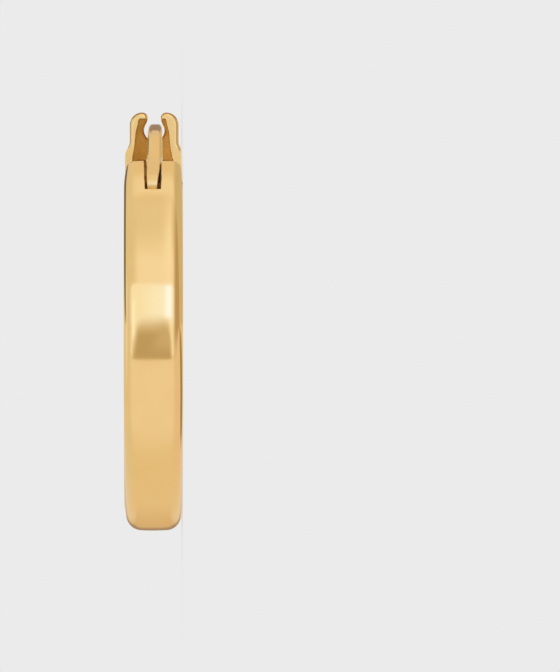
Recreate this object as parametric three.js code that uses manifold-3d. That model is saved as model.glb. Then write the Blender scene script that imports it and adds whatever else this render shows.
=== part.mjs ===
// A hinged hoop earring of polished, gold-finished brass, lying on its side.
//
// Frame, in millimetres: +Z is the ring's axis and the way up, and z = 0 is the surface that the
// hoop rests on. +X points at the clasp, -Y at the front of the hoop and +Y at its back.
// The shapes are drawn around the ring's centre, and one group then moves them all, so that the
// origin is at the middle of the bottom of the whole earring's box.
// Places round the ring are given in degrees from the clasp side (+X), positive to the front.

import * as THREE from "three";
import { mergeVertices } from "three/addons/utils/BufferGeometryUtils.js";
import Module from "manifold-3d";

// Band
const OUTER_RADIUS = 14.9;
const BAND_WIDTH = 4.15; // along the ring's axis
const BAND_THICKNESS = 2.0; // from the outer to the inner side
const OUTER_EDGE_ROUND = 0.62;
const INNER_EDGE_ROUND = 0.2;
const RING_STEPS = 96;
const ROUND_STEPS = 5; // facets in a rounded corner of the catch, fork and post
const BAND_ROUND_STEPS = 3; // facets in a rounded edge of the band

// Hollowed back: a channel in the inner side, between two rims
const RIM_WIDTH = 0.6;
const FACE_THICKNESS = 0.8; // metal left under the outer face
const CHANNEL_ROUND = 0.3;
const CHANNEL_FRONT_DEG = 62; // the metal is solid from here to the front end

// Fork at the front end, for the post
const FRONT_END_DEG = 38.5;
const FORK_TIP_ROUND = { alongBand: 1.7, acrossBand: 0.62 };
const FORK_FACE_ROUND = 0.35;
const SLOT_WIDTH = 1.2;

// Hinge
const PIN_DEG = 45.6;
const PIN_RADIUS = 0.35;
const PIN_CLEARANCE = 0.05; // all round the pin
const PIN_END_INSET = 0.02;
const KNUCKLE_RADIUS = 0.95;
const KNUCKLE_CLEARANCE = 0.1; // to the bottom of the slot

// Catch at the rear end: an upright plate with two ears and a keyhole between them
const CATCH_FRONT_Y = 6.7;
const CATCH_THICKNESS = 0.85;
const CATCH_TOP = 15.65; // from the ring's centre, as the heights below
const CATCH_FOOT = 11.9;
const CATCH_EDGE_ROUND = 0.15;
const CLASP_OFFSET = -0.07; // of the ears, the keyhole and the wire, from the band's middle
const EAR_HALF_WIDTH = 1.8;
const EAR_CORNER = { across: 0.9, down: 0.65 };
const SHOULDER = { top: 13.5, bottom: 12.85, halfWidth: 1.95 };
const KEYHOLE = { height: 14.32, radius: 0.75, mouth: 0.96, throat: 15.3, tipRound: 0.22 };
const KEYHOLE_SHOULDER_DEG = 25; // where the round hole starts to close in to its mouth

// Dish in the front of the plate: its outline from the foot up, then round the ears' tops
const DISH_DEPTH = 0.4;
const DISH_LIP = 0.17; // metal left round the keyhole
const DISH_OUTLINE = [
  { height: 13.2, halfWidth: 1.28 },
  { height: 14.0, halfWidth: 1.22 },
  { height: 14.7, halfWidth: 1.12 },
];
const DISH_TOP = { height: 15.22, halfWidth: 0.75 };

// Ear post: a flat tongue, thinnest at the knuckle, that ends inside the round wire. Its sides
// are given from the band's middle, and its half depths from the wire's middle line.
const TONGUE = [
  { along: -1.5, upperSide: 0.42, lowerSide: -0.2 },
  { along: 2.0, upperSide: 0.44, lowerSide: -0.57 },
  { along: 3.4, upperSide: 0.24, lowerSide: -0.38 },
];
const TONGUE_DEPTH = [
  { along: 1.6, half: 0.66 },
  { along: 2.4, half: 0.5 },
  { along: 3.4, half: 0.3 },
];
const WIRE_START = 1.9; // from the pin, as the other lengths along the post
const WIRE_RADIUS = { start: 0.51, middle: 0.46, tip: 0.43 };
const WIRE_MIDDLE_SHARE = 0.45; // of its length, where it has its middle radius
const POST_BEND_RADIUS = 5.0;
const POST_LEVEL = 13.93; // height of the wire's middle where the bend ends
const POST_RISE_DEG = 0.6; // slope of the straight run to the catch
const POST_TIP_Y = 8.3;
const POST_TIP_ROUND = 0.3;
const WIRE_SIDES = 12;
const WIRE_STEPS = 26;

const GOLD = { color: 0xf2cb80, roughness: 0.12, metalness: 1.0 };

const OVERCUT = 1; // how far a cutter runs past what it cuts
const MERGE_DISTANCE = 1e-5;

// Worked out from the sizes above
const INNER_RADIUS = OUTER_RADIUS - BAND_THICKNESS;
const HALF_WIDTH = BAND_WIDTH / 2;
const MIDDLE_RADIUS = OUTER_RADIUS - BAND_THICKNESS / 2;
const CENTRE_X = (OUTER_RADIUS - CATCH_TOP) / 2;

const wasm = await Module();
wasm.setup();

// ---- helpers -------------------------------------------------------------------------------

const radians = THREE.MathUtils.degToRad;

// A point of the ring's plane, at a radius and at degrees from +X towards the front.
function onRing(radius, degrees) {
  const angle = radians(degrees);
  return new THREE.Vector2(radius * Math.cos(angle), -radius * Math.sin(angle));
}

// A closed solid from a three.js geometry.
function solid(geometry) {
  geometry.deleteAttribute("normal");
  geometry.deleteAttribute("uv");
  const merged = mergeVertices(geometry, MERGE_DISTANCE);
  const corners = merged.index.array;
  const faces = [];
  for (let i = 0; i < corners.length; i += 3) {
    const [a, b, c] = corners.slice(i, i + 3);
    if (a !== b && b !== c && c !== a) faces.push(a, b, c);
  }
  return new wasm.Manifold(new wasm.Mesh({
    numProp: 3,
    vertProperties: new Float32Array(merged.attributes.position.array),
    triVerts: new Uint32Array(faces),
  }));
}

// A named, finished part of the scene from a solid.
function part(name, body) {
  const { vertProperties, triVerts } = body.getMesh();
  const geometry = new THREE.BufferGeometry();
  geometry.setAttribute("position", new THREE.BufferAttribute(vertProperties, 3));
  geometry.setIndex(new THREE.BufferAttribute(triVerts, 1));
  geometry.computeVertexNormals();
  const mesh = new THREE.Mesh(geometry, new THREE.MeshStandardMaterial(GOLD));
  mesh.name = name;
  return mesh;
}

// A shape of the ring's plane (X, Y), run through from one height to another.
function plate(shape, fromZ, toZ) {
  const settings = { depth: toZ - fromZ, bevelEnabled: false, curveSegments: ROUND_STEPS };
  return solid(new THREE.ExtrudeGeometry(shape, settings).translate(0, 0, fromZ));
}

// A shape of the front view (X, and Z from the clasp's middle), run from one Y to a larger one.
function frontPlate(shape, fromY, toY) {
  const settings = { depth: toY - fromY, bevelEnabled: false, curveSegments: ROUND_STEPS };
  const geometry = new THREE.ExtrudeGeometry(shape, settings);
  return solid(geometry.rotateX(Math.PI / 2).translate(0, toY, HALF_WIDTH + CLASP_OFFSET));
}

// A shape lying on the band at some degrees: its x runs along the band towards the front end, its
// y across the band from its middle, and it is run outwards from one radius to another.
function bandPlate(shape, degrees, fromRadius, toRadius) {
  const settings = { depth: toRadius - fromRadius, bevelEnabled: false, curveSegments: ROUND_STEPS };
  const out = onRing(1, degrees);
  const along = onRing(1, degrees - 90);
  const basis = new THREE.Matrix4().makeBasis(
    new THREE.Vector3(along.x, along.y, 0),
    new THREE.Vector3(0, 0, 1),
    new THREE.Vector3(out.x, out.y, 0),
  );
  basis.setPosition(out.x * fromRadius, out.y * fromRadius, HALF_WIDTH);
  return solid(new THREE.ExtrudeGeometry(shape, settings).applyMatrix4(basis));
}

// A round bar along Z at a place of the ring's plane.
function bar(radius, place, fromZ, toZ, sides) {
  const geometry = new THREE.CylinderGeometry(radius, radius, toZ - fromZ, sides);
  geometry.rotateX(Math.PI / 2).translate(place.x, place.y, (fromZ + toZ) / 2);
  return solid(geometry);
}

// An upright rectangle with each pair of corners rounded, as a shape drawn anticlockwise.
function roundedRectangle(left, right, bottom, top, leftRound, rightRound) {
  const quarter = Math.PI / 2;
  const shape = new THREE.Shape();
  shape.moveTo(left + leftRound, bottom);
  shape.lineTo(right - rightRound, bottom);
  shape.absarc(right - rightRound, bottom + rightRound, rightRound, -quarter, 0);
  shape.lineTo(right, top - rightRound);
  shape.absarc(right - rightRound, top - rightRound, rightRound, 0, quarter);
  shape.lineTo(left + leftRound, top);
  shape.absarc(left + leftRound, top - leftRound, leftRound, quarter, 2 * quarter);
  shape.lineTo(left, bottom + leftRound);
  shape.absarc(left + leftRound, bottom + leftRound, leftRound, 2 * quarter, 3 * quarter);
  return shape;
}

// What is outside a rounded corner. The corner is at (x, y), and the sizes of the rounding have
// the signs of the ways that the two edges leave the corner.
function cornerWaste(x, y, alongX, alongY) {
  const outX = x - Math.sign(alongX) * OVERCUT;
  const outY = y - Math.sign(alongY) * OVERCUT;
  const points = [new THREE.Vector2(outX, outY), new THREE.Vector2(x + alongX, outY)];
  for (let i = 0; i <= ROUND_STEPS; i += 1) {
    const angle = (i / ROUND_STEPS) * (Math.PI / 2);
    points.push(new THREE.Vector2(
      x + alongX * (1 - Math.sin(angle)),
      y + alongY * (1 - Math.cos(angle)),
    ));
  }
  points.push(new THREE.Vector2(outX, y + alongY));
  return new THREE.Shape(points);
}

// A ring whose section is a shape with x as the radius and y as the height.
function ring(section) {
  const points = section.getPoints(BAND_ROUND_STEPS);
  points.push(points[0].clone());
  return solid(new THREE.LatheGeometry(points, RING_STEPS).rotateX(Math.PI / 2));
}

// ---- the band ------------------------------------------------------------------------------

// What the ring lacks between its two ends: from the front end's face to the catch's front.
function gapWaste() {
  const far = 2 * OUTER_RADIUS;
  const frontFace = onRing(far, FRONT_END_DEG);
  const shape = new THREE.Shape([
    new THREE.Vector2(0, 0),
    frontFace,
    new THREE.Vector2(far, frontFace.y),
    new THREE.Vector2(far, CATCH_FRONT_Y),
    new THREE.Vector2(0, CATCH_FRONT_Y),
  ]);
  return plate(shape, -OVERCUT, BAND_WIDTH + OVERCUT);
}

// The channel in the band's inner side, which stops short of the front end.
function channelWaste() {
  const section = roundedRectangle(
    INNER_RADIUS - OVERCUT, OUTER_RADIUS - FACE_THICKNESS,
    RIM_WIDTH, BAND_WIDTH - RIM_WIDTH,
    0, CHANNEL_ROUND,
  );
  const far = 2 * OUTER_RADIUS;
  const solidFront = new THREE.Shape([
    new THREE.Vector2(0, 0),
    onRing(far, CHANNEL_FRONT_DEG),
    onRing(2 * far, FRONT_END_DEG),
    new THREE.Vector2(far, 0),
  ]);
  return ring(section).subtract(plate(solidFront, 0, BAND_WIDTH));
}

// What the front end loses: the slot, its rounded tips and edges, and the pin's hole.
function forkWaste() {
  const pin = onRing(MIDDLE_RADIUS, PIN_DEG);
  const inside = INNER_RADIUS - OVERCUT;
  const outside = OUTER_RADIUS + OVERCUT;
  const slot = roundedRectangle(
    -KNUCKLE_RADIUS - KNUCKLE_CLEARANCE, 2 * BAND_THICKNESS, -SLOT_WIDTH / 2, SLOT_WIDTH / 2, 0, 0,
  );
  let waste = bandPlate(slot, PIN_DEG, inside, outside);
  const tip = FORK_TIP_ROUND;
  for (const side of [-1, 1]) {
    const shape = cornerWaste(0, side * HALF_WIDTH, -tip.alongBand, -side * tip.acrossBand);
    waste = waste.add(bandPlate(shape, FRONT_END_DEG, inside, outside));
  }
  const holeRadius = PIN_RADIUS + PIN_CLEARANCE;
  return waste.add(bar(holeRadius, pin, -OVERCUT, BAND_WIDTH + OVERCUT, 2 * WIRE_SIDES));
}

// The edges of the front end's face, rounded towards the outer and the inner side.
function forkFaceWaste() {
  const along = onRing(1, FRONT_END_DEG - 90);
  const out = onRing(1, FRONT_END_DEG);
  const turned = new THREE.Matrix4().makeBasis(
    new THREE.Vector3(out.x, out.y, 0),
    new THREE.Vector3(along.x, along.y, 0),
    new THREE.Vector3(0, 0, 1),
  );
  const settings = { depth: BAND_WIDTH + 2 * OVERCUT, bevelEnabled: false };
  const edges = [
    cornerWaste(OUTER_RADIUS, 0, -FORK_FACE_ROUND, -FORK_FACE_ROUND),
    cornerWaste(INNER_RADIUS, 0, FORK_FACE_ROUND, -FORK_FACE_ROUND),
  ];
  const cutters = edges.map((shape) => {
    const geometry = new THREE.ExtrudeGeometry(shape, settings);
    return solid(geometry.applyMatrix4(turned).translate(0, 0, -OVERCUT));
  });
  return cutters[0].add(cutters[1]);
}

// ---- the catch -----------------------------------------------------------------------------

// The plate from the side: upright, and rounded at the top.
function catchSide() {
  const back = CATCH_FRONT_Y + CATCH_THICKNESS;
  const quarter = Math.PI / 2;
  const round = CATCH_EDGE_ROUND;
  const shape = new THREE.Shape();
  shape.moveTo(CATCH_FOOT, CATCH_FRONT_Y);
  shape.lineTo(CATCH_TOP - round, CATCH_FRONT_Y);
  shape.absarc(CATCH_TOP - round, CATCH_FRONT_Y + round, round, -quarter, 0);
  shape.absarc(CATCH_TOP - round, back - round, round, 0, quarter);
  shape.lineTo(CATCH_FOOT, back);
  return shape;
}

// The plate from the front: full width at the foot, shoulders, and the ears' rounded outside.
function catchFront() {
  const shape = new THREE.Shape();
  const ear = EAR_HALF_WIDTH;
  const cornerStart = CATCH_TOP - EAR_CORNER.down;
  const middle = (SHOULDER.top + SHOULDER.bottom) / 2;
  shape.moveTo(CATCH_FOOT - OVERCUT, -SHOULDER.halfWidth);
  shape.lineTo(SHOULDER.bottom, -SHOULDER.halfWidth);
  shape.bezierCurveTo(middle, -SHOULDER.halfWidth, middle, -ear, SHOULDER.top, -ear);
  shape.lineTo(cornerStart, -ear);
  shape.absellipse(cornerStart, EAR_CORNER.across - ear, EAR_CORNER.down, EAR_CORNER.across,
    -Math.PI / 2, 0);
  shape.lineTo(CATCH_TOP, ear - EAR_CORNER.across);
  shape.absellipse(cornerStart, ear - EAR_CORNER.across, EAR_CORNER.down, EAR_CORNER.across,
    0, Math.PI / 2);
  shape.lineTo(SHOULDER.top, ear);
  shape.bezierCurveTo(middle, ear, middle, SHOULDER.halfWidth, SHOULDER.bottom, SHOULDER.halfWidth);
  shape.lineTo(CATCH_FOOT - OVERCUT, SHOULDER.halfWidth);
  return shape;
}

// The keyhole with its open mouth, grown by a margin all round.
function keyhole(margin) {
  const { height, throat, tipRound } = KEYHOLE;
  const radius = KEYHOLE.radius + margin;
  const mouth = KEYHOLE.mouth / 2 + margin;
  const angle = radians(KEYHOLE_SHOULDER_DEG);
  const shoulder = { x: height + radius * Math.sin(angle), y: radius * Math.cos(angle) };
  const pull = 0.35 * (throat - shoulder.x);
  const far = CATCH_TOP + OVERCUT;
  const tipStart = CATCH_TOP - tipRound;
  const slope = { x: pull * Math.cos(angle), y: pull * Math.sin(angle) };
  const shape = new THREE.Shape();
  shape.moveTo(shoulder.x, shoulder.y);
  shape.absarc(height, 0, radius, Math.PI / 2 - angle, -Math.PI / 2 + angle);
  shape.bezierCurveTo(shoulder.x + slope.x, -shoulder.y + slope.y, throat - pull, -mouth,
    throat, -mouth);
  shape.lineTo(tipStart, -mouth);
  shape.absarc(tipStart, -mouth - tipRound, tipRound, Math.PI / 2, 0, true);
  shape.lineTo(far, -mouth - tipRound);
  shape.lineTo(far, mouth + tipRound);
  shape.lineTo(CATCH_TOP, mouth + tipRound);
  shape.absarc(tipStart, mouth + tipRound, tipRound, 0, -Math.PI / 2, true);
  shape.lineTo(throat, mouth);
  shape.bezierCurveTo(throat - pull, mouth, shoulder.x + slope.x, shoulder.y - slope.y,
    shoulder.x, shoulder.y);
  return shape;
}

// The dish in the plate's front, open downwards into the band's channel.
function dishWaste() {
  const foot = { height: CATCH_FOOT, halfWidth: HALF_WIDTH - RIM_WIDTH - Math.abs(CLASP_OFFSET) };
  const side = [foot, ...DISH_OUTLINE];
  const last = side[side.length - 1];
  const shape = new THREE.Shape();
  shape.moveTo(foot.height, -foot.halfWidth);
  for (const row of DISH_OUTLINE) shape.lineTo(row.height, -row.halfWidth);
  shape.quadraticCurveTo(DISH_TOP.height, -last.halfWidth, DISH_TOP.height, -DISH_TOP.halfWidth);
  shape.lineTo(DISH_TOP.height, DISH_TOP.halfWidth);
  shape.quadraticCurveTo(DISH_TOP.height, last.halfWidth, last.height, last.halfWidth);
  for (const row of side.reverse().slice(1)) shape.lineTo(row.height, row.halfWidth);
  const front = CATCH_FRONT_Y - OVERCUT;
  const bottom = CATCH_FRONT_Y + DISH_DEPTH;
  const lip = frontPlate(keyhole(DISH_LIP), front - OVERCUT, bottom + OVERCUT);
  return frontPlate(shape, front, bottom).subtract(lip);
}

function hoopBand() {
  const section = roundedRectangle(INNER_RADIUS, OUTER_RADIUS, 0, BAND_WIDTH,
    INNER_EDGE_ROUND, OUTER_EDGE_ROUND);
  const reach = CATCH_FRONT_Y + CATCH_THICKNESS + OVERCUT;
  const upright = plate(catchSide(), 0, BAND_WIDTH);
  const ears = upright.intersect(frontPlate(catchFront(), CATCH_FRONT_Y - OVERCUT, reach));
  const hole = frontPlate(keyhole(0), CATCH_FRONT_Y - OVERCUT, reach);
  return ring(section)
    .subtract(gapWaste())
    .add(ears)
    .subtract(channelWaste())
    .subtract(dishWaste())
    .subtract(hole)
    .subtract(forkWaste())
    .subtract(forkFaceWaste());
}

// ---- the ear post --------------------------------------------------------------------------

// The middle line of the post, from the pin: straight along the band, one bend, then straight
// back to its tip behind the catch.
function postRoute() {
  const pin = onRing(MIDDLE_RADIUS, PIN_DEG);
  const start = radians(90 - PIN_DEG); // slopes, up from the way to the back
  const end = radians(POST_RISE_DEG);
  const bendRise = POST_BEND_RADIUS * (Math.cos(end) - Math.cos(start));
  const straight = (POST_LEVEL - pin.x - bendRise) / Math.sin(start);
  const bendStart = new THREE.Vector2(
    pin.x + straight * Math.sin(start),
    pin.y + straight * Math.cos(start),
  );
  const centre = new THREE.Vector2(
    bendStart.x - POST_BEND_RADIUS * Math.cos(start),
    bendStart.y + POST_BEND_RADIUS * Math.sin(start),
  );
  const bendEndY = centre.y - POST_BEND_RADIUS * Math.sin(end);
  const rise = (POST_TIP_Y - bendEndY) * Math.tan(end);
  const route = new THREE.Path();
  route.moveTo(pin.x, pin.y);
  route.lineTo(bendStart.x, bendStart.y);
  route.absarc(centre.x, centre.y, POST_BEND_RADIUS, -start, -end);
  route.lineTo(POST_LEVEL + rise, POST_TIP_Y);
  return route;
}

// The round wire: a turned bar, thinner towards its rounded tip, bent along the route.
function wire(route) {
  const length = route.getLength();
  const bodyEnd = length - POST_TIP_ROUND;
  const middle = WIRE_START + WIRE_MIDDLE_SHARE * (length - WIRE_START);
  const { mapLinear } = THREE.MathUtils;
  const profile = [new THREE.Vector2(0, WIRE_START)];
  for (let i = 0; i <= WIRE_STEPS; i += 1) {
    const along = mapLinear(i, 0, WIRE_STEPS, WIRE_START, bodyEnd);
    const radius = along < middle
      ? mapLinear(along, WIRE_START, middle, WIRE_RADIUS.start, WIRE_RADIUS.middle)
      : mapLinear(along, middle, length, WIRE_RADIUS.middle, WIRE_RADIUS.tip);
    profile.push(new THREE.Vector2(radius, along));
  }
  const flat = WIRE_RADIUS.tip - POST_TIP_ROUND;
  for (let i = 1; i <= ROUND_STEPS; i += 1) {
    const angle = (i / ROUND_STEPS) * (Math.PI / 2);
    profile.push(new THREE.Vector2(
      flat + POST_TIP_ROUND * Math.cos(angle),
      bodyEnd + POST_TIP_ROUND * Math.sin(angle),
    ));
  }
  profile.push(new THREE.Vector2(0, length));
  const geometry = new THREE.LatheGeometry(profile, WIRE_SIDES);
  const place = geometry.attributes.position;
  for (let i = 0; i < place.count; i += 1) {
    const share = THREE.MathUtils.clamp(place.getY(i) / length, 0, 1);
    const middlePoint = route.getPointAt(share);
    const along = route.getTangentAt(share);
    const side = place.getX(i);
    place.setXYZ(i, middlePoint.x + along.y * side, middlePoint.y - along.x * side,
      HALF_WIDTH + CLASP_OFFSET + place.getZ(i));
  }
  return solid(geometry);
}

// The flat tongue between the cheeks of the fork: from the side a round knuckle that narrows to
// the wire, and from the front a wedge.
function tongue() {
  const pin = onRing(MIDDLE_RADIUS, PIN_DEG);
  const firstRow = TONGUE_DEPTH[0];
  const neck = Math.asin((KNUCKLE_RADIUS - firstRow.half) / firstRow.along);
  const quarter = Math.PI / 2;
  const profile = new THREE.Shape();
  profile.absarc(0, 0, KNUCKLE_RADIUS, quarter - neck, 3 * quarter + neck);
  for (const row of TONGUE_DEPTH) profile.lineTo(row.along, -row.half);
  for (const row of [...TONGUE_DEPTH].reverse()) profile.lineTo(row.along, row.half);
  const settings = { depth: BAND_WIDTH, bevelEnabled: false, curveSegments: WIRE_SIDES };
  const outline = new THREE.ExtrudeGeometry(profile, settings);
  outline.rotateZ(radians(PIN_DEG)).translate(pin.x, pin.y, 0);
  const wedge = new THREE.Shape([
    ...TONGUE.map((row) => new THREE.Vector2(row.along, row.lowerSide)),
    ...[...TONGUE].reverse().map((row) => new THREE.Vector2(row.along, row.upperSide)),
  ]);
  const flat = bandPlate(wedge, PIN_DEG, INNER_RADIUS - OVERCUT, OUTER_RADIUS + OVERCUT);
  const holeRadius = PIN_RADIUS + PIN_CLEARANCE;
  const hole = bar(holeRadius, pin, -OVERCUT, BAND_WIDTH + OVERCUT, 2 * WIRE_SIDES);
  return solid(outline).intersect(flat).subtract(hole);
}

function earPost() {
  return tongue().add(wire(postRoute()));
}

// ---- the hinge pin -------------------------------------------------------------------------

function hingePin() {
  const place = onRing(MIDDLE_RADIUS, PIN_DEG);
  return bar(PIN_RADIUS, place, PIN_END_INSET, BAND_WIDTH - PIN_END_INSET, 2 * WIRE_SIDES);
}

const earring = new THREE.Group();
earring.add(part("hoop_band", hoopBand()));
earring.add(part("ear_post", earPost()));
earring.add(part("hinge_pin", hingePin()));
earring.position.x = CENTRE_X;

export default earring;
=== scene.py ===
# %% [markdown]
# # A hinged hoop earring in polished gold
#
# The earring is a flat band bent into a hoop. Its front end is a fork, and a wire post turns
# between the fork's two cheeks on a thin pin. The post runs back over the gap for the ear lobe
# and drops into a keyhole between two ears at the rear end. The inner side of the band is
# hollowed out, which saves gold and weight.
#
# The hoop lies on its side. Its axis is +Z, the clasp is towards +X and the front towards -Y.
# Everything is modelled around the hoop's centre in millimetres, because such small numbers are
# easier to read than parts of a metre. Each finished piece is then scaled and moved once.

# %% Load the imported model
import math
from functools import partial
from math import cos, pi, radians, sin, sqrt

import bmesh
import bpy
from mathutils import Matrix, Vector


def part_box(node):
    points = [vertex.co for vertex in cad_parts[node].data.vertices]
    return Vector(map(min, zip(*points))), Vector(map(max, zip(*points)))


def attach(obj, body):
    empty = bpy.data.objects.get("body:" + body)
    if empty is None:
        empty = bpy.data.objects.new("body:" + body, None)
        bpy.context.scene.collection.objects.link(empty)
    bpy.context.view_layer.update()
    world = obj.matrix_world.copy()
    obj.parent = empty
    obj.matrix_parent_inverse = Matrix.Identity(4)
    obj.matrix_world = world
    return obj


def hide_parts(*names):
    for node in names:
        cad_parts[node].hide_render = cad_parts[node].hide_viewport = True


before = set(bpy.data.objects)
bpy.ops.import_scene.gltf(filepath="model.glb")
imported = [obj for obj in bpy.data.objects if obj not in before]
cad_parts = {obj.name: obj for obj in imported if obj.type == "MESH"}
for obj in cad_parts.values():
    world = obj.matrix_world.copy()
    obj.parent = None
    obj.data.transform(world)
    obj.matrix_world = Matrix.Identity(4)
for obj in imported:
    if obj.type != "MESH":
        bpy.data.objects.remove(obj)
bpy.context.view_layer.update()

MM = 0.001
band_low, band_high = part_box("hoop_band")
OUTER = (band_high.y - band_low.y) / 2 / MM  # outer radius of the band
CENTRE_X = (band_low.x / MM) + OUTER  # where the hoop's centre is on the X axis
WIDTH = band_high.z / MM  # of the band, along the hoop's axis
MIDDLE = WIDTH / 2
print(f"outer radius {OUTER:.2f} mm, width {WIDTH:.2f} mm, centre at x = {CENTRE_X:.3f} mm")

# %% [markdown]
# ## Sizes
#
# Places round the hoop are given in degrees from the clasp side, positive towards the front.
# Heights of the catch are measured from the hoop's centre towards the clasp.

# %% Sizes of the real object, in millimetres
INNER = OUTER - 2.0  # the band is 2 mm thick
FLOOR = OUTER - 0.8  # bottom of the channel in the inner side
RIM = 0.6  # width of the two rims beside the channel
OUTER_ROUND = {1: 0.62, -1: 0.78}  # on the upper and on the lower side
INNER_ROUND = 0.2
CHANNEL_ROUND = 0.3
DOME_RADIUS = 16.0  # the outer face is a little domed across the band

FRONT_END = 38.5  # degrees, where the fork's tips are
CHANNEL_START = 62.0
SLOT_HALF = 0.6
# The rounding of the fork's tips: how far it goes along the band, and how deep it is on the face.
# Then what the upper (1) and the lower (-1) side lose across, and the power with which that fades
TIP = {"along": 2.1, "face": 0.1}
TIP_SIDES = {1: {"across": 0.15, "power": 1.7}, -1: {"across": 0.04, "power": 1.4}}

PIN_AT = 45.6  # degrees, where the hinge's pin is
PIN_CIRCLE = (OUTER + INNER) / 2  # it is in the middle of the band's thickness
PIN_RADIUS = 0.35
PIN_HOLE = 0.375
PIN_TO_SLOT_END = 1.05
SLOT_LENGTH = radians(PIN_AT - FRONT_END) * PIN_CIRCLE + PIN_TO_SLOT_END

CATCH_FRONT = 6.7  # y of the catch plate's front face
CATCH_THICKNESS = 0.85
CATCH_TOP = band_high.x / MM - CENTRE_X
CLASP_SHIFT = -0.07  # of the ears and the wire, from the band's middle
print(f"slot {SLOT_LENGTH:.2f} mm long, catch top {CATCH_TOP:.2f} mm from the centre")


# %% [markdown]
# ## A few hand tools
#
# Blender's edit-mode operators act on whatever is selected. So each step below first clears the
# selection, and then selects by a rule about a face's, edge's or vertex's place.

# %% Selection and modelling helpers
def only(*pieces):
    """Select these objects alone. The last one is the active one."""
    if bpy.context.object and bpy.context.object.mode != "OBJECT":
        bpy.ops.object.mode_set(mode="OBJECT")
    bpy.ops.object.select_all(action="DESELECT")
    for piece in pieces:
        piece.select_set(True)
    bpy.context.view_layer.objects.active = pieces[-1]


def edit(piece):
    only(piece)
    bpy.ops.object.mode_set(mode="EDIT")


def done():
    bpy.ops.object.mode_set(mode="OBJECT")


def shape_now():
    return bmesh.from_edit_mesh(bpy.context.object.data)


def centre(element):
    """Middle of a vertex, an edge or a face."""
    if isinstance(element, bmesh.types.BMVert):
        return element.co
    if isinstance(element, bmesh.types.BMEdge):
        return (element.verts[0].co + element.verts[1].co) / 2
    return element.calc_center_median()


def pick(kind, rule):
    """In edit mode, select the verts, edges or faces for which rule(element) is true."""
    bpy.ops.mesh.select_mode(type={"verts": "VERT", "edges": "EDGE", "faces": "FACE"}[kind])
    bpy.ops.mesh.select_all(action="DESELECT")
    chosen = [element for element in getattr(shape_now(), kind) if rule(element)]
    for element in chosen:
        element.select_set(True)
    bmesh.update_edit_mesh(bpy.context.object.data)
    return len(chosen)


def bevel(width, segments, affect="EDGES"):
    bpy.ops.mesh.bevel(offset=width, segments=segments, affect=affect, clamp_overlap=False)


def resize(factors, about):
    bpy.ops.transform.resize(value=factors, center_override=about)


def move(x, y, z):
    bpy.ops.transform.translate(value=(x, y, z))


def face_outward():
    bpy.ops.mesh.select_all(action="SELECT")
    bpy.ops.mesh.normals_make_consistent(inside=False)


def open_edges():
    return sum(not edge.is_manifold for edge in shape_now().edges)


def near(value, target, tolerance=0.004):
    return abs(value - target) < tolerance


def blend(low, high, share):
    return low + (high - low) * min(1, max(0, share))


def radius_of(point):
    return sqrt(point.x**2 + point.y**2)


def degrees_of(point):
    """Degrees from the clasp side towards the front, from -180 to 180."""
    return math.degrees(math.atan2(-point.y, point.x))


def boolean(piece, cutter, operation):
    """Cut, join or intersect, apply it, and throw the cutter away."""
    only(piece)
    modifier = piece.modifiers.new("boolean", "BOOLEAN")
    modifier.operation = operation
    modifier.solver = "EXACT"
    modifier.object = cutter
    bpy.ops.object.modifier_apply(modifier=modifier.name)
    bpy.data.objects.remove(cutter)
    edit(piece)
    bpy.ops.mesh.select_all(action="SELECT")
    bpy.ops.mesh.remove_doubles(threshold=0.0005)
    print(piece.name, "after the Boolean: open edges", open_edges())
    done()


# %% [markdown]
# ## The band
#
# A goldsmith casts or rolls the band as one strip with a fixed section. Spin does the same: it
# drags a flat section round an axis. The section starts as a plane, is divided into cells by
# bisect, and has its corners rounded with a vertex bevel. Different cells are then spun over
# different stretches: only the two cheeks at the fork, the full section behind them, and the
# section without its channel for the rest of the way. No Boolean is needed, so the polished
# faces keep even quads. The strip is built with its fork end on the X axis, and turned later.

# %% The section of the band, as cells
CUT = 1e-5
SIDE_LINE = 13.15  # the outer corners' rounding stays outside this radius
FACE_LINE = 1.05  # one more line on the outer face, so that its dome is smooth


def bisect_faces(rule, place, normal, **options):
    pick("faces", rule)
    bpy.ops.mesh.bisect(plane_co=place, plane_no=normal, threshold=CUT, **options)


def bisect_at_heights(rule, *heights):
    for z in heights:
        bisect_faces(rule, (0, 0, z), (0, 0, 1))


def everywhere(face):
    return True


bpy.ops.object.select_all(action="DESELECT")
bpy.ops.mesh.primitive_plane_add(size=1, location=(PIN_CIRCLE, 0, MIDDLE), rotation=(pi / 2, 0, 0))
band = bpy.context.object
band.name = "hoop_band_polished"
band.scale = (OUTER - INNER, WIDTH, 1)
bpy.ops.object.transform_apply()

edit(band)
bisect_faces(everywhere, (FLOOR, 0, 0), (1, 0, 0))
bisect_at_heights(everywhere, MIDDLE - SLOT_HALF, MIDDLE + SLOT_HALF)
bisect_at_heights(lambda face: centre(face).x < FLOOR, RIM, WIDTH - RIM)
bisect_at_heights(lambda face: centre(face).x > FLOOR, FACE_LINE, WIDTH - FACE_LINE)


def round_corner(x, side, radius, segments):
    pick("verts", lambda v: near((v.co.z - MIDDLE) * side, MIDDLE) and near(v.co.x, x))
    bevel(radius, segments, "VERTICES")


pick("verts", lambda v: near(abs(v.co.z - MIDDLE), MIDDLE) and near(v.co.x, FLOOR))
move(SIDE_LINE - FLOOR, 0, 0)
for side in (1, -1):
    round_corner(OUTER, side, OUTER_ROUND[side], 12)
    round_corner(INNER, side, INNER_ROUND, 5)


def dome_drop(off_middle):
    return off_middle**2 / (2 * DOME_RADIUS)


def on_face(vert):
    return vert.co.x > FLOOR + CUT


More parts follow.
